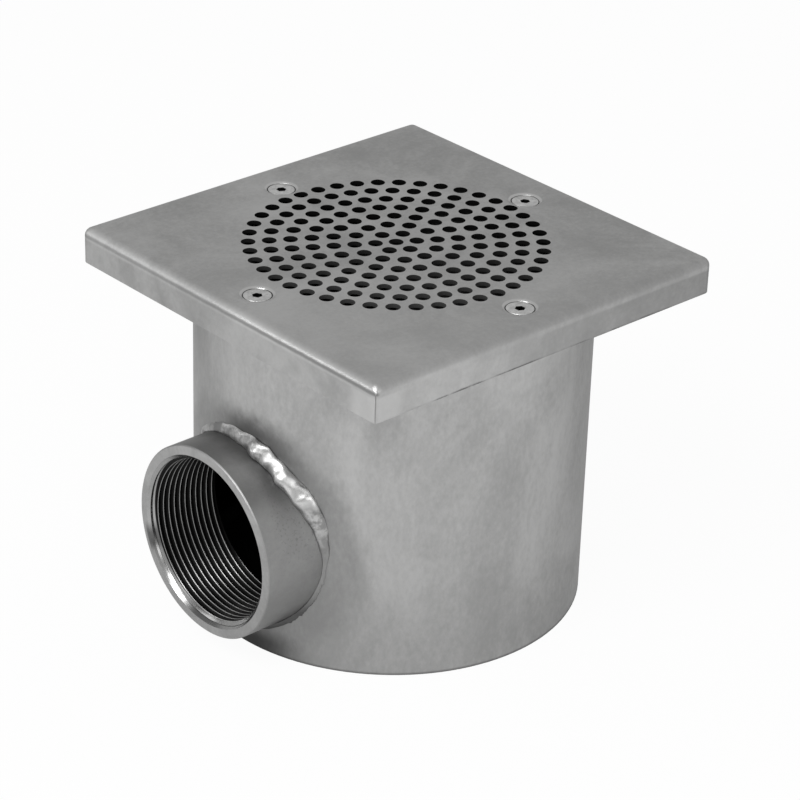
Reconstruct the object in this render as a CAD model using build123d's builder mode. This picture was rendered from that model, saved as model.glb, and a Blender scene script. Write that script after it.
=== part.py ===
import os
from math import degrees, asin, sqrt

from build123d import *

os.makedirs("parts", exist_ok=True)

# Pool floor drain in sheet steel: a welded pot with a threaded side outlet, under a perforated
# cover that four countersunk screws hold down. The origin is the centre of the base's
# underside, +Z is up and the outlet faces -X. All sizes are in millimetres.

# Whole object
overall_height = 128.0

# Cover: a square pan folded from one sheet
cover_side = 150.0
cover_sheet = 1.5
cover_skirt = 12.5
cover_bend = 3.0
corner_slit = 0.3

# Pot: a rolled tube closed by a disc
pot_inset = 7.0
pot_wall = 2.0
base_thickness = 2.0
base_weld_leg = 3.0
rim_clearance = 1.5

# Countersunk screws with a hexagon socket
screw_count = 4
screw_inset = 6.0
screw_diameter = 5.0
screw_length = 16.0
head_diameter = 9.4
head_rim = 0.4
head_sink = 1.6
socket_flats = 3.0
socket_depth = 1.9

# Dimples pressed in the cover for the screw heads
dimple_lip = 0.5
dimple_spread = 2.5
dimple_margin = 2.8
dimple_blend = 9.0
lip_blend = 0.4
screw_clearance = 0.25

# Tapped lugs inside the pot's rim
lug_width = 17.0
lug_height = 12.0
lug_weld_leg = 3.0

# Field of holes: a centre hole and rings of 6, 12, 18 ... holes, one pitch apart
hole_diameter = 5.0
field_inset = 10.5
ring_count = 7
ring_start = 90.0

# Outlet socket for a 2 inch pipe thread, let into the pot's wall
outlet_diameter = 68.0
outlet_wall = 5.67
outlet_stand = 14.5
outlet_inside = 2.0
outlet_clearance = 4.0
mouth_depth = 2.3
outlet_edge = 0.4
outlet_weld_leg = 4.0
outlet_weld_flat = 2.6

# Levels and radii that follow from these sizes
cover_floor = overall_height - cover_skirt
cover_underside = overall_height - cover_sheet
rim_level = cover_underside - rim_clearance
pot_outer = cover_side / 2 - pot_inset
pot_inner = pot_outer - pot_wall
screw_radius = pot_inner - screw_inset
ring_pitch = (screw_radius - field_inset) / ring_count
outlet_radius = outlet_diameter / 2
outlet_bore = outlet_diameter - 2 * outlet_wall
outlet_height = outlet_radius + outlet_weld_leg + outlet_clearance
outlet_face = pot_outer + outlet_stand
outlet_end = sqrt(pot_inner**2 - outlet_radius**2) - outlet_inside

# The dimple's upper line, as radius from the screw's axis and height above the cover's face:
# level sheet, a shallow slope, the lip, and the cone that the screw head lies against.
head_radius = head_diameter / 2
cone_start = -head_sink - head_rim
lip_radius = head_radius + dimple_lip
lip_drop = cone_start + dimple_lip
dimple_radius = lip_radius + dimple_spread
dimple_edge = dimple_radius + dimple_margin
sheet_hole = screw_diameter / 2 + screw_clearance
hole_drop = cone_start - (head_radius - sheet_hole)

# The lower line lies one sheet thickness behind it. Each of its corners is found from the
# directions square to the two stretches that meet there.
square_level = Vector(0, -1)
square_slope = Vector(-lip_drop, -dimple_spread).normalized()
square_cone = Vector(1, -1).normalized()
upper_bend = Vector(dimple_radius, 0)
upper_lip = Vector(lip_radius, lip_drop)
upper_hole = Vector(sheet_hole, hole_drop)
level_to_slope = (square_level + square_slope) / (1 + square_level.dot(square_slope))
slope_to_cone = (square_slope + square_cone) / (1 + square_slope.dot(square_cone))
lower_bend = upper_bend + level_to_slope * cover_sheet
lower_lip = upper_lip + slope_to_cone * cover_sheet
lower_hole = upper_hole + square_cone * cover_sheet

with BuildPart() as dimple:
    with BuildSketch(Plane.XZ) as section:
        with BuildLine():
            Polyline(
                (dimple_edge, 0),
                upper_bend,
                upper_lip,
                upper_hole,
                lower_hole,
                lower_lip,
                lower_bend,
                (dimple_edge, -cover_sheet),
                close=True,
            )
        make_face()
        fillet(section.vertices().sort_by_distance(upper_bend)[0], radius=dimple_blend)
        fillet(section.vertices().sort_by_distance(upper_lip)[0], radius=lip_blend)
        fillet(section.vertices().sort_by_distance(lower_bend)[0], radius=dimple_blend - cover_sheet)
    revolve(axis=Axis.Z)

# Cover
with BuildPart() as cover:
    with BuildSketch(Plane.XY.offset(cover_floor)):
        Rectangle(cover_side, cover_side)
    extrude(amount=cover_skirt)
    top_and_corners = cover.faces().sort_by(Axis.Z)[-1].edges() + cover.edges().filter_by(Axis.Z)
    fillet(top_and_corners, radius=cover_bend)
    offset(amount=-cover_sheet, openings=cover.faces().sort_by(Axis.Z)[0])

    # The folded sides meet at a mitre that stays open below the bend.
    with BuildSketch(Plane.XY.offset(cover_floor)):
        with PolarLocations(cover_side / sqrt(2), 4, start_angle=45):
            Rectangle(4 * cover_sheet, corner_slit)
    extrude(amount=cover_skirt - cover_bend, mode=Mode.SUBTRACT)

    # Dimples
    with Locations((0, 0, overall_height)):
        with PolarLocations(screw_radius, screw_count):
            Cylinder(dimple_edge, 3 * cover_sheet, mode=Mode.SUBTRACT)
            add(dimple.part)

    # Field of holes
    with BuildSketch(Plane.XY.offset(overall_height)):
        Circle(hole_diameter / 2)
        for ring in range(1, ring_count + 1):
            with PolarLocations(ring * ring_pitch, 6 * ring, start_angle=ring_start):
                Circle(hole_diameter / 2)
    extrude(amount=-cover_skirt / 2, mode=Mode.SUBTRACT)

cover.part.label = "cover"
export_step(cover.part, "parts/cover.step")

# Screw, drawn at its axis with the cover's face at height 0
with BuildPart() as screw:
    with BuildSketch(Plane.XZ):
        with BuildLine():
            Polyline(
                (0, -head_sink),
                (head_radius, -head_sink),
                (head_radius, cone_start),
                (screw_diameter / 2, cone_start - head_radius + screw_diameter / 2),
                (screw_diameter / 2, -head_sink - screw_length),
                (0, -head_sink - screw_length),
                close=True,
            )
        make_face()
    revolve(axis=Axis.Z)
    with BuildSketch(Plane.XY.offset(-head_sink)):
        RegularPolygon(socket_flats / 2, 6, major_radius=False)
    extrude(amount=-socket_depth, mode=Mode.SUBTRACT)

# Lug, drawn at its screw's axis with +X towards the pot's wall. The underside of the cover's
# dimple lies in its countersink.
lug_top = rim_level - overall_height
seat_drop = cone_start - cover_sheet * sqrt(2)
seat_radius = head_radius + lug_top - seat_drop
with BuildPart() as lug:
    with BuildSketch(Plane.XY.offset(lug_top - lug_height)):
        Circle(lug_width / 2)
        Rectangle(lug_width / 2, lug_width, align=(Align.MIN, Align.CENTER))
        with Locations((-screw_radius, 0)):
            Circle(pot_inner, mode=Mode.INTERSECT)
    extrude(amount=lug_height)
    with Locations((0, 0, lug_top)):
        CounterSinkHole(screw_diameter / 2, seat_radius, counter_sink_angle=90)

# Weld bead under a lug, against the pot's wall
lug_half_angle = degrees(asin(lug_width / 2 / pot_inner))
lug_floor = rim_level - lug_height
with BuildPart() as lug_weld:
    with BuildSketch(Plane.XZ):
        with BuildLine():
            Polyline(
                (pot_inner, lug_floor),
                (pot_inner - lug_weld_leg, lug_floor),
                (pot_inner, lug_floor - lug_weld_leg),
                close=True,
            )
        make_face()
    revolve(axis=Axis.Z, revolution_arc=2 * lug_half_angle)

# One screw, lug and lug weld on the middle line of each side of the cover
for number in range(screw_count):
    angle = 360 / screw_count * number
    with BuildPart() as placed_screw:
        with Locations((0, 0, overall_height)):
            with PolarLocations(screw_radius, 1, start_angle=angle):
                add(screw.part)
    placed_screw.part.label = f"cover_screw_{number + 1}"
    export_step(placed_screw.part, f"parts/{placed_screw.part.label}.step")

    with BuildPart() as placed_lug:
        with Locations((0, 0, overall_height)):
            with PolarLocations(screw_radius, 1, start_angle=angle):
                add(lug.part)
    placed_lug.part.label = f"screw_lug_{number + 1}"
    export_step(placed_lug.part, f"parts/{placed_lug.part.label}.step")

    with BuildPart() as placed_weld:
        with Locations(Rotation(0, 0, angle - lug_half_angle)):
            add(lug_weld.part)
    placed_weld.part.label = f"lug_weld_{number + 1}"
    export_step(placed_weld.part, f"parts/{placed_weld.part.label}.step")

# Outlet socket
outlet_plane = Plane.YZ.offset(-outlet_face)
with BuildPart() as outlet_socket:
    with BuildSketch(outlet_plane):
        with Locations((0, outlet_height)):
            Circle(outlet_radius)
            Circle(outlet_bore / 2, mode=Mode.SUBTRACT)
    extrude(amount=outlet_face - outlet_end)
    mouth = outlet_socket.edges().filter_by(GeomType.CIRCLE).group_by(Axis.X)[0].sort_by(SortBy.LENGTH)
    chamfer(mouth[0], length=mouth_depth)
    chamfer(mouth[-1], length=outlet_edge)
outlet_socket.part.label = "outlet_socket"
export_step(outlet_socket.part, "parts/outlet_socket.step")

# Pot shell, with the hole that the socket goes through
with BuildPart() as pot_shell:
    with BuildSketch():
        Circle(pot_outer)
        Circle(pot_inner, mode=Mode.SUBTRACT)
    extrude(amount=rim_level)
    with BuildSketch(outlet_plane):
        with Locations((0, outlet_height)):
            Circle(outlet_radius)
    extrude(amount=outlet_face, mode=Mode.SUBTRACT)
pot_shell.part.label = "pot_shell"
export_step(pot_shell.part, "parts/pot_shell.step")

# Base disc, flush with the pot's lower edge
with BuildPart() as base_disc:
    with BuildSketch():
        Circle(pot_inner)
    extrude(amount=base_thickness)
base_disc.part.label = "base_disc"
export_step(base_disc.part, "parts/base_disc.step")

# Ring weld between the base disc and the pot's wall
with BuildPart() as base_weld:
    with BuildSketch(Plane.XZ):
        with BuildLine():
            Polyline(
                (pot_inner, base_thickness),
                (pot_inner - base_weld_leg, base_thickness),
                (pot_inner, base_thickness + base_weld_leg),
                close=True,
            )
        make_face()
    revolve(axis=Axis.Z)
base_weld.part.label = "base_weld"
export_step(base_weld.part, "parts/base_weld.step")

# Saddle weld round the joint of the socket and the pot
with BuildPart() as outlet_weld:
    with BuildSketch(outlet_plane):
        with Locations((0, outlet_height)):
            Circle(outlet_radius + outlet_weld_leg)
    extrude(amount=outlet_face)
    with BuildSketch():
        Circle(pot_outer + outlet_weld_leg)
    extrude(amount=overall_height, mode=Mode.INTERSECT)
    chamfer(outlet_weld.edges().group_by(Axis.X)[0], length=outlet_weld_flat)
    with BuildSketch():
        Circle(pot_outer)
    extrude(amount=overall_height, mode=Mode.SUBTRACT)
    with BuildSketch(outlet_plane):
        with Locations((0, outlet_height)):
            Circle(outlet_radius)
    extrude(amount=outlet_face, mode=Mode.SUBTRACT)
outlet_weld.part.label = "outlet_weld"
export_step(outlet_weld.part, "parts/outlet_weld.step")
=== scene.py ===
import math

import bmesh
import bpy
from mathutils import Matrix, Vector, noise


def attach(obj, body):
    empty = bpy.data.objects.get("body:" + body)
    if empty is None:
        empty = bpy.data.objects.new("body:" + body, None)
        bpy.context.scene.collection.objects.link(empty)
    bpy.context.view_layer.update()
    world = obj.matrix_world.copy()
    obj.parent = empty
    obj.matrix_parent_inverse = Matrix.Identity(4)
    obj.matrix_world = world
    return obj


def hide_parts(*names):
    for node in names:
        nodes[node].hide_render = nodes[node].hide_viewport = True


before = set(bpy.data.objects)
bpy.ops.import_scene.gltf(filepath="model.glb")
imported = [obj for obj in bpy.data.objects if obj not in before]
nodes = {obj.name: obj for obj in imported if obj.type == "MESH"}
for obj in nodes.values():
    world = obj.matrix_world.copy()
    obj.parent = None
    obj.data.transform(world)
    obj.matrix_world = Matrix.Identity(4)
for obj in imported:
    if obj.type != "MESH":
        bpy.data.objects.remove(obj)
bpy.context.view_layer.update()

# Camera
# The drain is seen from above its outlet corner, with a long lens about a metre away that is
# turned by a degree or two.
camera_place = Vector((-0.60930, -0.66672, 0.54569))
camera_aim = Vector((0.00217, -0.00199, 0.06825))
camera_roll = math.radians(1.80)
camera_data = bpy.data.cameras.new("camera")
camera_data.sensor_width = 36.0
camera_data.lens = 133.64
camera_data.clip_start = 0.01
camera = bpy.data.objects.new("camera", camera_data)
looking = (camera_aim - camera_place).to_track_quat("-Z", "Y").to_matrix().to_4x4()
camera.matrix_world = (
    Matrix.Translation(camera_place) @ looking @ Matrix.Rotation(camera_roll, 4, "Z")
)
bpy.context.scene.collection.objects.link(camera)
bpy.context.scene.camera = camera
bpy.context.scene.view_settings.view_transform = "Standard"

# Studio light
# Two soft boxes high up on the outlet's side, a low one behind that draws the bright line along
# the outlet side's bend, a low wide one in front, and a room that is evenly grey.
lit_point = Vector((0.0, 0.0, 0.08))


def soft_box(name, place, width, height, power):
    """Hangs a rectangular lamp that faces the drain."""
    data = bpy.data.lights.new(name, "AREA")
    data.shape = "RECTANGLE"
    data.size = width
    data.size_y = height
    data.energy = power
    box = bpy.data.objects.new(name, data)
    facing = (lit_point - Vector(place)).to_track_quat("-Z", "Y").to_matrix().to_4x4()
    box.matrix_world = Matrix.Translation(place) @ facing
    bpy.context.scene.collection.objects.link(box)


soft_box("front_box", (-0.90, -0.28, 1.24), 0.95, 0.50, 10.0)
soft_box("left_box", (-1.22, 0.05, 0.99), 0.45, 0.30, 3.0)
soft_box("back_box", (-1.02, 0.96, 0.47), 0.50, 0.24, 1.6)
soft_box("low_box", (-0.10, -1.40, 0.62), 1.00, 0.60, 2.6)


def node(tree, kind, inputs=None, **settings):
    """Adds a node; an input is given as a value or as the output that feeds it."""
    made = tree.nodes.new(kind)
    for name, value in settings.items():
        setattr(made, name, value)
    for name, value in (inputs or {}).items():
        if isinstance(value, bpy.types.NodeSocket):
            tree.links.new(value, made.inputs[name])
        else:
            made.inputs[name].default_value = value
    return made


def grey(level):
    """A grey of the studio, very slightly warm."""
    return (level, level, level * 0.995, 1.0)


white = (1.0, 1.0, 1.0, 1.0)
room_level = 0.50
room = bpy.data.worlds.new("room")
bpy.context.scene.world = room
room.use_nodes = True
tree = room.node_tree
tree.nodes.clear()
room_light = node(tree, "ShaderNodeBackground", {"Color": grey(room_level), "Strength": 1.0})
backdrop = node(tree, "ShaderNodeBackground", {"Color": white, "Strength": 1.0})
rays = node(tree, "ShaderNodeLightPath").outputs
choose = node(
    tree,
    "ShaderNodeMixShader",
    {0: rays["Is Camera Ray"], 1: room_light.outputs[0], 2: backdrop.outputs[0]},
)
node(tree, "ShaderNodeOutputWorld", {"Surface": choose.outputs[0]})


# Floor
# A plain white table top, which keeps the drain's soft shadow. Metal sees a painted glow on it,
# paler in front and falling off behind the drain, with painted shade close to the drain.
def add_mesh(name, bm, smooth_angle=None):
    """Makes an object at the origin from a bmesh, smooth up to an angle."""
    mesh = bpy.data.meshes.new(name)
    bm.to_mesh(mesh)
    bm.free()
    imported = mesh.attributes.get("custom_normal")
    if imported is not None:
        mesh.attributes.remove(imported)
    if smooth_angle is not None:
        mesh.shade_smooth()
        mesh.set_sharp_from_angle(angle=math.radians(smooth_angle))
    piece = bpy.data.objects.new(name, mesh)
    bpy.context.scene.collection.objects.link(piece)
    return piece


def calc(tree, operation, *values):
    """One step of arithmetic on node outputs and numbers."""
    return node(tree, "ShaderNodeMath", dict(enumerate(values)), operation=operation).outputs[0]


def fade(tree, value, start, end, low=0.0, high=1.0):
    """Goes softly from low to high while the value goes from start to end."""
    inputs = {"Value": value, "From Min": start, "From Max": end, "To Min": low, "To Max": high}
    return node(tree, "ShaderNodeMapRange", inputs, interpolation_type="SMOOTHSTEP").outputs[0]


away_from_front = (0.67, 0.74, 0.0)
camera_share = 0.95
mirror_share = 0.5
bm = bmesh.new()
bmesh.ops.create_grid(bm, x_segments=1, y_segments=1, size=6.0)
floor = add_mesh("floor", bm)
floor_paint = bpy.data.materials.new("floor_paint")
floor_paint.use_nodes = True
tree = floor_paint.node_tree
tree.nodes.clear()
matte = node(tree, "ShaderNodeBsdfDiffuse", {"Color": (0.85, 0.85, 0.85, 1.0)})
rays = node(tree, "ShaderNodeLightPath").outputs
floor_place = node(tree, "ShaderNodeTexCoord").outputs["Object"]
behind = node(
    tree, "ShaderNodeVectorMath", {0: floor_place, 1: away_from_front}, operation="DOT_PRODUCT"
).outputs["Value"]
from_pot = node(
    tree, "ShaderNodeVectorMath", {0: floor_place}, operation="LENGTH"
).outputs["Value"]
# Painted glow for glossy rays, falling off behind the drain, with painted shade near the pot.
painted_glow = calc(
    tree,
    "MULTIPLY",
    fade(tree, behind, -0.12, 0.14, 0.9, 0.3),
    fade(tree, from_pot, 0.07, 0.24, 0.62, 1.0),
)
painted_glow = calc(tree, "MAXIMUM", rays["Is Camera Ray"], painted_glow)
shining = node(tree, "ShaderNodeEmission", {"Color": white, "Strength": painted_glow})
seen = calc(tree, "MULTIPLY", rays["Is Camera Ray"], camera_share)
mirrored = calc(tree, "MAXIMUM", rays["Is Glossy Ray"], rays["Is Transmission Ray"])
share = calc(tree, "MAXIMUM", seen, calc(tree, "MULTIPLY", mirrored, mirror_share))
mix = node(tree, "ShaderNodeMixShader", {0: share, 1: matte.outputs[0], 2: shining.outputs[0]})
node(tree, "ShaderNodeOutputMaterial", {"Surface": mix.outputs[0]})
floor.data.materials.append(floor_paint)

# Pot
# A tube rolled from 2 mm stainless sheet, closed by a welded-in disc. All the drain's steel is
# pickled: matte, with soft clouds of lighter and darker grey and a fine grain. Welding has
# burnt a halo round the outlet, strongest above it, which is also a painted reflection of the
# socket.
clouds = bpy.data.node_groups.new("clouded_steel", "ShaderNodeTree")
for socket, kind, start in (
    ("Vector", "NodeSocketVector", None),
    ("Dark", "NodeSocketColor", grey(0.45)),
    ("Light", "NodeSocketColor", grey(0.60)),
    ("Cloud Scale", "NodeSocketFloat", 18.0),
    ("Grain Scale", "NodeSocketFloat", 900.0),
    ("Low Roughness", "NodeSocketFloat", 0.38),
    ("High Roughness", "NodeSocketFloat", 0.55),
):
    made = clouds.interface.new_socket(socket, in_out="INPUT", socket_type=kind)
    if start is not None:
        made.default_value = start
clouds.interface.new_socket("Color", in_out="OUTPUT", socket_type="NodeSocketColor")
clouds.interface.new_socket("Roughness", in_out="OUTPUT", socket_type="NodeSocketFloat")
clouds.interface.new_socket("Height", in_out="OUTPUT", socket_type="NodeSocketFloat")
grain_share = 0.25
given = node(clouds, "NodeGroupInput").outputs
cloud = node(
    clouds,
    "ShaderNodeTexNoise",
    {
        "Vector": given["Vector"],
        "Scale": given["Cloud Scale"],
        "Detail": 5.0,
        "Roughness": 0.62,
        "Distortion": 0.6,
    },
)
grain = node(
    clouds,
    "ShaderNodeTexNoise",
    {"Vector": given["Vector"], "Scale": given["Grain Scale"], "Detail": 3.0, "Roughness": 0.7},
)
weigh = node(
    clouds,
    "ShaderNodeMix",
    {"Factor": grain_share, "A": cloud.outputs["Fac"], "B": grain.outputs["Fac"]},
    data_type="FLOAT",
).outputs["Result"]
tone = node(
    clouds,
    "ShaderNodeMix",
    {"Factor": fade(clouds, weigh, 0.32, 0.68), "A": given["Dark"], "B": given["Light"]},
    data_type="RGBA",
)
dullness = fade(clouds, weigh, 0.3, 0.7, given["High Roughness"], given["Low Roughness"])
node(
    clouds,
    "NodeGroupOutput",
    {"Color": tone.outputs["Result"], "Roughness": dullness, "Height": weigh},
)


class Finish:
    """A metal material of the clouded group, to which a piece's own marks are added."""

    def __init__(self, name, dark, light, cloud_scale, grain_scale, rough, stretch=(1, 1, 1)):
        self.material = bpy.data.materials.new(name)
        self.material.use_nodes = True
        self.tree = self.material.node_tree
        self.shader = self.tree.nodes["Principled BSDF"]
        self.shader.inputs["Metallic"].default_value = 1.0
        self.place = node(self.tree, "ShaderNodeTexCoord").outputs["Object"]
        parts = node(self.tree, "ShaderNodeSeparateXYZ", {"Vector": self.place}).outputs
        self.x, self.y, self.z = parts
        turned = node(
            self.tree, "ShaderNodeMapping", {"Vector": self.place, "Scale": stretch}
        ).outputs[0]
        look = {
            "Vector": turned,
            "Dark": grey(dark),
            "Light": grey(light),
            "Cloud Scale": cloud_scale,
            "Grain Scale": grain_scale,
            "Low Roughness": rough[0],
            "High Roughness": rough[1],
        }
        group = node(self.tree, "ShaderNodeGroup", look, node_tree=clouds)
        self.color = group.outputs["Color"]
        self.roughness = group.outputs["Roughness"]
        self.height = group.outputs["Height"]
        self.link()

    def calc(self, operation, *values):
        return calc(self.tree, operation, *values)

    def times(self, first, *others):
        """The product of two or more masks."""
        for other in others:
            first = self.calc("MULTIPLY", first, other)
        return first

    def fade(self, value, start, end, low=0.0, high=1.0):
        return fade(self.tree, value, start, end, low, high)

    def length(self, a, b):
        return self.calc("SQRT", self.calc("ADD", self.times(a, a), self.times(b, b)))

    def noise(self, scale, detail=4.0, roughness=0.6):
        inputs = {"Vector": self.place, "Scale": scale, "Detail": detail, "Roughness": roughness}
        return node(self.tree, "ShaderNodeTexNoise", inputs).outputs["Fac"]

    def stain(self, mask, level):
        """Mixes a grey into the colour where the mask is 1."""
        inputs = {"Factor": mask, "A": self.color, "B": grey(level)}
        self.color = node(self.tree, "ShaderNodeMix", inputs, data_type="RGBA").outputs["Result"]
        self.link()

    def dull(self, mask, level):
        """Mixes a roughness in where the mask is 1."""
        inputs = {"Factor": mask, "A": self.roughness, "B": level}
        mixed = node(self.tree, "ShaderNodeMix", inputs, data_type="FLOAT")
        self.roughness = mixed.outputs["Result"]
        self.link()

    def link(self):
        self.tree.links.new(self.color, self.shader.inputs["Base Color"])
        self.tree.links.new(self.roughness, self.shader.inputs["Roughness"])

    def bump(self, height, distance):
        dent = node(self.tree, "ShaderNodeBump", {"Height": height, "Distance": distance})
        self.tree.links.new(dent.outputs[0], self.shader.inputs["Normal"])

    def give(self, piece):
        piece.data.materials.clear()
        piece.data.materials.append(self.material)


pot_radius = 0.068
socket_axis_height = 0.042
socket_outer = 0.034
steel = Finish("pot_finish", 0.41, 0.575, 22.0, 600.0, (0.38, 0.52), stretch=(1, 1, 0.6))
outlet_up = steel.calc("SUBTRACT", steel.z, socket_axis_height)
from_outlet = steel.length(steel.y, outlet_up)
ragged = steel.calc("ADD", from_outlet, steel.calc("MULTIPLY", steel.noise(80.0), -0.014))
# Burnt heat tint, and a painted reflection of the dark socket in the pot.
burn_and_reflection = steel.fade(ragged, socket_outer - 0.001, socket_outer + 0.0085, 0.85, 0.0)
above = steel.times(
    steel.fade(outlet_up, 0.002, 0.034, 0.55, 1.0),
    steel.fade(steel.y, -0.030, -0.012, 0.45, 1.0),
    steel.fade(steel.y, -0.004, 0.016, 1.0, 0.3),
)
outlet_side = steel.fade(steel.x, -0.035, -0.030, 1.0, 0.0)
steel.stain(steel.times(burn_and_reflection, above, outlet_side), 0.13)

# Painted shade and reflection of the socket darken the pot's foot beneath the outlet, and a thin
# painted shade darkens its lower edge at the floor.
painted_shade_beneath = steel.times(
    steel.fade(steel.z, 0.0030, 0.0110, 0.85, 0.0),
    steel.fade(steel.calc("ABSOLUTE", steel.y), 0.008, 0.036, 1.0, 0.0),
)
steel.stain(steel.times(painted_shade_beneath, outlet_side), 0.06)
steel.stain(steel.fade(steel.z, 0.0002, 0.0012, 0.6, 0.0), 0.10)

# Painted shade: inside, the pot and the disc are painted dark.
from_centre = steel.length(steel.x, steel.y)
steel.stain(steel.fade(from_centre, pot_radius - 0.0017, pot_radius - 0.0014, 1.0, 0.0), 0.04)
steel.bump(steel.height, 0.00006)
steel.give(nodes["pot_shell"])
disc = Finish("base_finish", 0.44, 0.54, 13.0, 600.0, (0.42, 0.55))
disc.stain(disc.fade(disc.z, 0.0004, 0.0008), 0.04)
disc.give(nodes["base_disc"])

# Outlet socket
# Turned from thick tube, with a right-hand 2 inch pipe thread, 11 threads to the inch, behind
# a chamfered mouth. The thread is cut by winding its profile round the socket's axis.
socket_face = -0.0825
socket_inner_end = -0.054568
crest_radius = 0.02833
thread_pitch = 0.025400 / 11
thread_depth = 0.00148
thread_profile = ((0.0, 0.08), (0.06, 0.0), (0.12, 0.08), (0.44, 0.92), (0.53, 1.0), (0.62, 0.92))
mouth_chamfer = 0.0023
outer_chamfer = 0.0004
bore_limit = 0.0305
turns = 15
steps = 180
fine_merge = 0.000002
centre = Vector((0.0, 0.0, socket_axis_height))
bm = bmesh.new()
profile = []
for turn in range(turns):
    for share, depth in thread_profile:
        place = socket_face - thread_pitch * 1.5 + (turn + share) * thread_pitch
        height = socket_axis_height + crest_radius + depth * thread_depth
        profile.append(bm.verts.new((place, 0.0, height)))
edges = [bm.edges.new((a, b)) for a, b in zip(profile, profile[1:])]
bmesh.ops.spin(
    bm,
    geom=profile + edges,
    cent=centre,
    axis=(1.0, 0.0, 0.0),
    dvec=(thread_pitch / steps, 0.0, 0.0),
    angle=math.tau,
    steps=steps,
    space=Matrix.Identity(4),
)
bmesh.ops.remove_doubles(bm, verts=bm.verts, dist=fine_merge)
for place, outward in ((socket_face, -1.0), (socket_inner_end, 1.0)):
    bmesh.ops.bisect_plane(
        bm,
        geom=bm.verts[:] + bm.edges[:] + bm.faces[:],
        dist=0.0000005,
        plane_co=(place, 0.0, 0.0),
        plane_no=(outward, 0.0, 0.0),
        clear_outer=True,
    )
for vert in bm.verts:
    away = Vector((0.0, vert.co.y, vert.co.z)) - centre
    mouth_radius = crest_radius + mouth_chamfer - (vert.co.x - socket_face)
    if away.length < mouth_radius:
        away = away.normalized() * mouth_radius
        vert.co.y = away.y
        vert.co.z = centre.z + away.z


def rim_at(place):
    """The open edges that lie at a place along the axis."""
    return [
        e
        for e in bm.edges
        if e.is_boundary and all(abs(v.co.x - place) < fine_merge for v in e.verts)
    ]


def extrude_rim(rim, radius, place):
    """Draws a rim of edges out to a circle of another radius and place along the axis."""
    grown = bmesh.ops.extrude_edge_only(bm, edges=rim)["geom"]
    for vert in (g for g in grown if isinstance(g, bmesh.types.BMVert)):
        away = Vector((0.0, vert.co.y, vert.co.z)) - centre
        away = away.normalized() * radius
        vert.co = (place, away.y, centre.z + away.z)
    return [g for g in grown if isinstance(g, bmesh.types.BMEdge) and g.is_boundary]


rim = extrude_rim(rim_at(socket_face), socket_outer - outer_chamfer, socket_face)
rim = extrude_rim(rim, socket_outer, socket_face + outer_chamfer)
rim = extrude_rim(rim, socket_outer, socket_inner_end)
inner = [e for e in rim_at(socket_inner_end) if e not in set(rim)]
bmesh.ops.bridge_loops(bm, edges=rim + inner)
bmesh.ops.remove_doubles(bm, verts=bm.verts, dist=fine_merge)
bmesh.ops.recalc_face_normals(bm, faces=bm.faces)
socket = add_mesh("threaded_socket", bm, smooth_angle=15)

# The thread's roots are painted dark as shade. The chamfer is the smoothest part, with painted
# shade at the bottom and a painted dark reflection at one side.
steel = Finish("socket_finish", 0.38, 0.50, 70.0, 900.0, (0.32, 0.46))
x, y = steel.x, steel.y
up = steel.calc("SUBTRACT", steel.z, socket_axis_height)
from_axis = steel.length(y, up)
turn_angle = steel.calc("ARCTAN2", y, up)
depth_in = steel.calc("SUBTRACT", x, socket_face)
behind_mouth = steel.fade(depth_in, mouth_chamfer - 0.0001, mouth_chamfer + 0.0001)
before_thread = steel.fade(depth_in, mouth_chamfer - 0.0001, mouth_chamfer + 0.0001, 1.0, 0.0)
in_bore = steel.times(steel.fade(from_axis, bore_limit - 0.0002, bore_limit, 1.0, 0.0), behind_mouth)
root = steel.fade(from_axis, crest_radius + 0.00002, crest_radius + 0.00022)
steel.stain(steel.times(in_bore, root), 0.012)
chamfer_edge = steel.fade(from_axis, socket_outer - 0.0034, socket_outer - 0.0032, 1.0, 0.0)
on_chamfer = steel.times(chamfer_edge, before_thread)
steel.dull(on_chamfer, 0.23)
# Painted shade at the bottom of the chamfer.
painted_shade_low = steel.fade(steel.calc("ABSOLUTE", turn_angle), 2.74, 2.98, 0.0, 0.8)
steel.stain(steel.times(on_chamfer, painted_shade_low), 0.10)
# Painted dark reflection on one side of the chamfer.
painted_dark_reflection = steel.times(
    steel.fade(turn_angle, 1.72, 1.90),
    steel.fade(turn_angle, 2.00, 2.12, 1.0, 0.0),
)
near_mouth = steel.fade(from_axis, socket_outer - 0.0022, socket_outer - 0.0012, 0.75, 0.0)
steel.stain(steel.times(painted_dark_reflection, near_mouth, before_thread), 0.06)

# The skin is dull, with weld spatter on the -Y side. Above, near the weld, it is burnt and painted
# darker as shade; its top is painted darker as shade, and so is its underside near the weld.
on_skin = steel.fade(from_axis, socket_outer - 0.0005, socket_outer - 0.0001)
near_weld = steel.times(
    steel.fade(x, socket_face + 0.0030, socket_face + 0.0095),
    steel.fade(y, -0.030, -0.012, 1.0, 0.0),
    steel.fade(up, -0.005, 0.014),
)
spatter = steel.fade(steel.noise(1100.0, 2.0, 0.5), 0.56, 0.70, 0.0, 0.45)
spatter = steel.times(spatter, near_weld, on_skin)
steel.dull(on_skin, 0.54)
steel.stain(spatter, 0.12)
steel.stain(steel.times(on_skin, 0.45), 0.30)
weld_reach = steel.calc("ADD", x, steel.calc("MULTIPLY", steel.noise(90.0), 0.008))
# Heat tint and painted shade on top, near the weld.
burn_and_shade = steel.times(
    steel.fade(weld_reach, -0.0730, -0.0650, 0.0, 0.8), steel.fade(up, 0.012, 0.030)
)
steel.stain(steel.times(burn_and_shade, on_skin), 0.11)
# Painted shade: the socket's top is painted darker.
steel.stain(steel.times(steel.fade(up, 0.020, 0.033, 0.0, 0.35), on_skin), 0.14)
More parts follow.
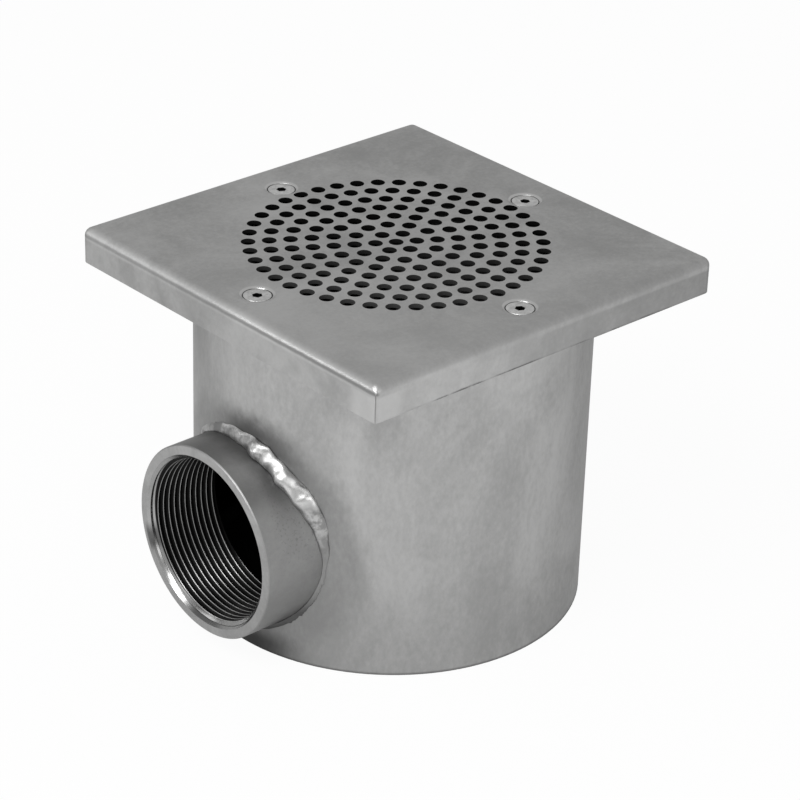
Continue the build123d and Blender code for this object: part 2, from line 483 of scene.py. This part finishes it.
# Painted shade on the socket's underside near the weld.
painted_shade_below = steel.times(
    steel.fade(weld_reach, -0.0760, -0.0640, 0.0, 0.75), steel.fade(up, -0.027, -0.014, 1.0, 0.0)
)
steel.stain(steel.times(painted_shade_below, on_skin), 0.07)
rough_skin = steel.calc("SUBTRACT", steel.height, steel.calc("MULTIPLY", spatter, 1.5))
steel.bump(steel.times(rough_skin, steel.calc("SUBTRACT", 1.0, on_chamfer)), 0.00004)
steel.give(socket)
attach(socket, "root")
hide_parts("outlet_socket")

# Outlet weld
# A hand-laid bead in the corner of socket and pot, lumpy and bright. It is widest above,
# towards the -Y side, and thin below that, where it was ground. Its underside is sunk in the
# metal.

# Each row has an angle in degrees, from the top towards -Y, and the bead's reach along the
# socket and over the pot in millimetres.
bead_legs = (
    (-60, 1.2, 1.8), (-30, 1.0, 2.4), (-10, 1.0, 4.0), (5, 1.6, 4.8), (20, 3.2, 5.0),
    (30, 3.1, 4.2), (40, 4.2, 4.0), (50, 4.2, 4.6), (60, 3.5, 4.0), (70, 2.6, 3.0),
    (80, 1.6, 1.9), (95, 0.6, 1.0), (115, 0.7, 1.3), (130, 1.0, 1.6), (160, 1.4, 2.0),
    (200, 2.4, 3.0), (250, 2.2, 2.8), (300, 1.2, 1.8),
)
bead_circle = 0.040
bead_radius = 0.003
bead_sink = 0.0004
lump_height = 0.00060
full_size = 0.0030


def legs_at(angle):
    """The bead's reach along the socket and over the pot, in metres, at an angle in degrees."""
    angle = (angle + 60) % 360 - 60
    for (start, a0, b0), (end, a1, b1) in zip(bead_legs, bead_legs[1:]):
        if start <= angle <= end:
            share = (angle - start) / (end - start)
            share = share * share * (3 - 2 * share)
            return (a0 + (a1 - a0) * share) / 1000, (b0 + (b1 - b0) * share) / 1000


def on_pot(angle, radius):
    """The point of the pot's skin at an angle and distance from the outlet's axis."""
    side = -radius * math.sin(angle)
    height = socket_axis_height + radius * math.cos(angle)
    return Vector((-math.sqrt(pot_radius**2 - side**2), side, height))


bm = bmesh.new()
bmesh.ops.create_circle(
    bm,
    cap_ends=False,
    segments=36,
    radius=bead_radius,
    matrix=Matrix.Translation((0.0, 0.0, socket_axis_height + bead_circle))
    @ Matrix.Rotation(math.pi / 2, 4, "X"),
)
bmesh.ops.spin(
    bm,
    geom=bm.verts[:] + bm.edges[:],
    cent=centre,
    axis=(1.0, 0.0, 0.0),
    angle=math.tau,
    steps=400,
    use_merge=True,
)
for vert in bm.verts:
    away = Vector((0.0, vert.co.y, vert.co.z)) - centre
    angle = math.atan2(-away.y, away.z)
    around = math.degrees(math.atan2(away.length - bead_circle, -vert.co.x))
    spot = Vector((math.cos(angle), math.sin(angle), 0.0))
    sway = noise.noise(spot * 4.0)
    quick = noise.noise(spot * 8.0 + Vector((3.0, 0.0, 0.0)))
    along_socket, over_pot = legs_at(math.degrees(angle))
    along_socket *= 1.0 + 0.16 * sway + 0.14 * quick
    over_pot *= 1.0 + 0.12 * noise.noise(spot * 9.0 + Vector((0.0, 5.0, 0.0))) - 0.08 * quick
    # Low on the -Y side its edge on the pot is ragged.
    if 95 < math.degrees(angle) < 140:
        over_pot *= 1.0 + 0.5 * noise.noise(spot * 45.0)
    start = on_pot(angle, socket_outer)
    toe_socket = start + Vector((-along_socket, 0.0, 0.0))
    toe_pot = on_pot(angle, socket_outer + over_pot)
    radial = away.normalized()
    outward = (toe_socket - start).cross(toe_pot - start).cross(toe_pot - toe_socket)
    outward.normalize()
    if outward.dot(radial - Vector((1.0, 0.0, 0.0))) < 0:
        outward.negate()
    # The outer half is drawn up to a lumpy crown, and the rest lies behind the two skins.
    if -45 <= around <= 135:
        share = (around + 45) / 180
        height = (1 - abs(2 * share - 1) ** 2.6) ** 0.7
        size = min(along_socket, over_pot)
        lump = 0.34 + 0.16 * sway + 0.12 * quick
        place = toe_socket.lerp(toe_pot, share) + outward * height * size * lump
        rough = noise.noise(place * 150.0) * 0.8 + noise.noise(place * 420.0) * 0.35
        vert.co = place + outward * rough * lump_height * height * min(size / full_size, 1.0)
    else:
        share = ((around - 135) % 360) / 180
        sunk = Vector((bead_sink, 0.0, 0.0)) - radial * bead_sink
        if share < 0.5:
            vert.co = toe_pot.lerp(start, share * 2) + sunk
        else:
            vert.co = start.lerp(toe_socket, share * 2 - 1) + sunk
bmesh.ops.recalc_face_normals(bm, faces=bm.faces)
bead = add_mesh("outlet_bead", bm, smooth_angle=60)
steel = Finish("bead_finish", 0.34, 0.60, 130.0, 1400.0, (0.16, 0.46))
up = steel.calc("SUBTRACT", steel.z, socket_axis_height)
off_crown = steel.calc(
    "MAXIMUM",
    steel.fade(up, 0.0180, 0.0220, 1.0, 0.0),
    steel.fade(steel.y, -0.0215, -0.0165),
)
patches = steel.fade(steel.noise(230.0, 3.0), 0.46, 0.60)
steel.stain(steel.times(patches, off_crown, 0.7), 0.20)
steel.dull(steel.times(off_crown, 0.8), 0.42)
# Painted highlight: the crown above the outlet is painted bright; elsewhere the bead is darker in
# patches.
crown_highlight = steel.calc("SUBTRACT", 1.0, off_crown)
steel.stain(steel.times(crown_highlight, 0.6), 0.82)
ground = steel.fade(up, 0.002, 0.014, 1.0, 0.0)
steel.stain(steel.times(ground, 0.85), 0.33)
# Painted shade darkens the bead at its foot below the socket.
steel.stain(steel.fade(up, -0.024, -0.010, 0.8, 0.0), 0.08)
steel.bump(steel.height, 0.00006)
steel.give(bead)
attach(bead, "root")
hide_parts("outlet_weld")

# Lugs and welds inside the pot
# Four pieces of bar stock under the cover, tapped for its screws, and the plain beads that
# hold them and the base disc. All are painted dark as shade and left dull, like the rest of the
# inside.
bar = Finish("lug_finish", 0.03, 0.05, 60.0, 900.0, (0.50, 0.60))
inner_weld = Finish("inner_weld_finish", 0.04, 0.06, 160.0, 1200.0, (0.40, 0.55))
inner_weld.give(nodes["base_weld"])
for number in range(1, 5):
    bar.give(nodes[f"screw_lug_{number}"])
    inner_weld.give(nodes[f"lug_weld_{number}"])

# Cover
# One square of 1.5 mm stainless sheet, punched with the grate's holes, dimpled for its four
# screws and folded down on all sides, with mitred corners.
cover_top = 0.128
cover_half = 0.075
cover_bend = 0.003
cover_floor = 0.1155
sheet = 0.0015
bend_foot = cover_top - cover_bend
steel = Finish("cover_finish", 0.40, 0.585, 24.0, 700.0, (0.30, 0.44))
x, y, z = steel.x, steel.y, steel.z

# The walls of the holes and the underside are painted dark as shade, and dull.
widest = steel.calc("MAXIMUM", steel.calc("ABSOLUTE", x), steel.calc("ABSOLUTE", y))
facing = node(steel.tree, "ShaderNodeTexCoord").outputs["Normal"]
facing_up = node(steel.tree, "ShaderNodeSeparateXYZ", {"Vector": facing}).outputs["Z"]
inside = steel.times(
    steel.fade(facing_up, 0.1, 0.4, 1.0, 0.0),
    steel.fade(widest, cover_half - sheet * 0.9, cover_half - sheet * 0.7, 1.0, 0.0),
)
steel.stain(inside, 0.012)
steel.dull(inside, 0.8)

# A dark line is painted below the bend on the outlet side as a painted reflection, and the press has
# rubbed the bend dull towards the back. The sheet is painted paler towards the front corner, as
# painted light.
line_height = steel.calc("ADD", z, steel.calc("MULTIPLY", steel.noise(160.0), 0.0006))
painted_dark_line = steel.times(
    steel.fade(line_height, bend_foot - 0.0002, bend_foot + 0.0006),
    steel.fade(line_height, bend_foot + 0.0010, bend_foot + 0.0017, 1.0, 0.0),
)
on_outlet_side = steel.fade(x, -cover_half + 0.0008, -cover_half + 0.0020, 1.0, 0.0)
fainter_back = steel.fade(y, -0.070, 0.060, 0.85, 0.35)
steel.stain(steel.times(painted_dark_line, on_outlet_side, fainter_back), 0.08)
# Painted light: the sheet is painted paler towards the front corner.
steel.stain(steel.fade(steel.calc("ADD", x, y), -0.13, 0.03, 0.28, 0.0), 0.66)
bend_start = cover_half - cover_bend
on_bend = steel.fade(widest, bend_start - 0.0005, bend_start + 0.0005)
steel.dull(steel.times(on_bend, steel.fade(y, -0.060, 0.040, 0.3, 1.0)), 0.55)

# The two folded sides in front are painted darker as shade and worn darker in patches, the -Y
# side more towards +X, with a broken dark line of painted shade along its lower edge.
on_front_side = steel.fade(y, -cover_half + 0.0008, -cover_half + 0.0020, 1.0, 0.0)
smudge = steel.fade(steel.noise(70.0, 3.0), 0.45, 0.62)
# Painted shade along the lower edge of the -Y side.
lower_edge_shade = steel.fade(line_height, cover_floor + 0.0004, cover_floor + 0.0011, 0.85, 0.0)
broken = steel.fade(steel.noise(60.0), 0.38, 0.58, 0.15, 1.0)
steel.stain(steel.times(lower_edge_shade, steel.times(on_front_side, broken)), 0.08)
below_bend = steel.fade(z, bend_foot - 0.0015, bend_foot - 0.0005, 1.0, 0.0)
shade_to_right = steel.fade(x, -0.04, 0.06, 0.0, 0.32)
worn_and_shaded_sides = steel.calc(
    "MAXIMUM",
    steel.times(on_outlet_side, steel.calc("MULTIPLY_ADD", smudge, 0.16, 0.17)),
    steel.times(on_front_side, steel.calc("MULTIPLY_ADD", smudge, 0.10, shade_to_right)),
)
steel.stain(steel.times(worn_and_shaded_sides, below_bend), 0.20)

# The front corner is rubbed brighter on both sides of its seam.
from_corner = steel.length(steel.calc("ADD", x, cover_half), steel.calc("ADD", y, cover_half))
steel.stain(steel.times(steel.fade(from_corner, 0.008, 0.014, 0.55, 0.0), below_bend), 0.66)

# The dimples' lips are polished by the press and painted brighter as a highlight, and the gaps
# round the screw heads are painted dark as shade.
screw_radius = 0.060
head_level = 0.1264
head_radius = 0.0047


def from_nearest_screw(finish):
    """The distance from the axis of the nearest screw."""
    along = finish.calc("ABSOLUTE", finish.x)
    across = finish.calc("ABSOLUTE", finish.y)
    return finish.calc(
        "MINIMUM",
        finish.length(finish.calc("SUBTRACT", along, screw_radius), across),
        finish.length(along, finish.calc("SUBTRACT", across, screw_radius)),
    )


from_screw = from_nearest_screw(steel)
ragged_gap = steel.calc("MULTIPLY_ADD", steel.noise(260.0), -0.0004, from_screw)
# Painted shade in the gaps round the screw heads.
painted_gap_shade = steel.fade(ragged_gap, head_radius, head_radius + 0.0002, 1.0, 0.0)
lip_sheen = steel.times(
    steel.fade(from_screw, head_radius + 0.0001, head_radius + 0.0003),
    steel.fade(from_screw, head_radius + 0.0009, head_radius + 0.0014, 1.0, 0.0),
)
steel.stain(lip_sheen, 0.68)
steel.dull(lip_sheen, 0.30)
steel.stain(painted_gap_shade, 0.03)
steel.bump(steel.height, 0.00005)

# The front upright corner is folded squarer than the others.
cad_merge = 0.000005
squareness = 0.75
arc_centre = cover_half - cover_bend
bm = bmesh.new()
bm.from_mesh(nodes["cover"].data)
bmesh.ops.remove_doubles(bm, verts=bm.verts, dist=cad_merge)
for vert in bm.verts:
    over_x = -vert.co.x - arc_centre
    over_y = -vert.co.y - arc_centre
    if over_x > 0 and over_y > 0:
        squarer = (math.hypot(over_x, over_y) / max(over_x, over_y)) ** squareness
        squarer = 1 + (squarer - 1) * min((cover_top - vert.co.z) / cover_bend, 1.0)
        vert.co.x = -arc_centre - over_x * squarer
        vert.co.y = -arc_centre - over_y * squarer
cover = add_mesh("cover_sheet", bm, smooth_angle=28)
steel.give(cover)
level = cover.modifiers.new("level", "WEIGHTED_NORMAL")
level.keep_sharp = True
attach(cover, "root")
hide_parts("cover")

# Screws
# Countersunk stainless screws with hexagon sockets, brighter than the sheet and with broken
# edges. They hold the cover down on the lugs.
hexagon_reach = 0.0021
broken_edge = 0.00018
steel = Finish("screw_finish", 0.58, 0.86, 420.0, 1500.0, (0.28, 0.42))
# Painted shade: the hexagon sockets and the heads below their broken top edges are painted dark.
socket_hole_shade = steel.times(
    steel.fade(from_nearest_screw(steel), hexagon_reach, hexagon_reach + 0.0001, 1.0, 0.0),
    steel.fade(steel.z, head_level - 0.00010, head_level - 0.00001, 1.0, 0.0),
)
steel.stain(socket_hole_shade, 0.02)
shade_under_head = steel.fade(steel.z, head_level - 0.00030, head_level - broken_edge, 1.0, 0.0)
steel.stain(shade_under_head, 0.03)
for number in range(1, 5):
    bm = bmesh.new()
    bm.from_mesh(nodes[f"cover_screw_{number}"].data)
    bmesh.ops.remove_doubles(bm, verts=bm.verts, dist=cad_merge)
    bm.normal_update()
    level_edges = [
        e for e in bm.edges if all(abs(v.co.z - head_level) < 0.00001 for v in e.verts)
    ]
    bmesh.ops.bevel(
        bm,
        geom=[e for e in level_edges if e.is_manifold and e.calc_face_angle() > 0.5],
        offset=broken_edge,
        affect="EDGES",
        segments=3,
        profile=0.5,
        material=-1,
    )
    screw = add_mesh(f"screw_{number}", bm, smooth_angle=40)
    steel.give(screw)
    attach(screw, "root")
    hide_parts(f"cover_screw_{number}")
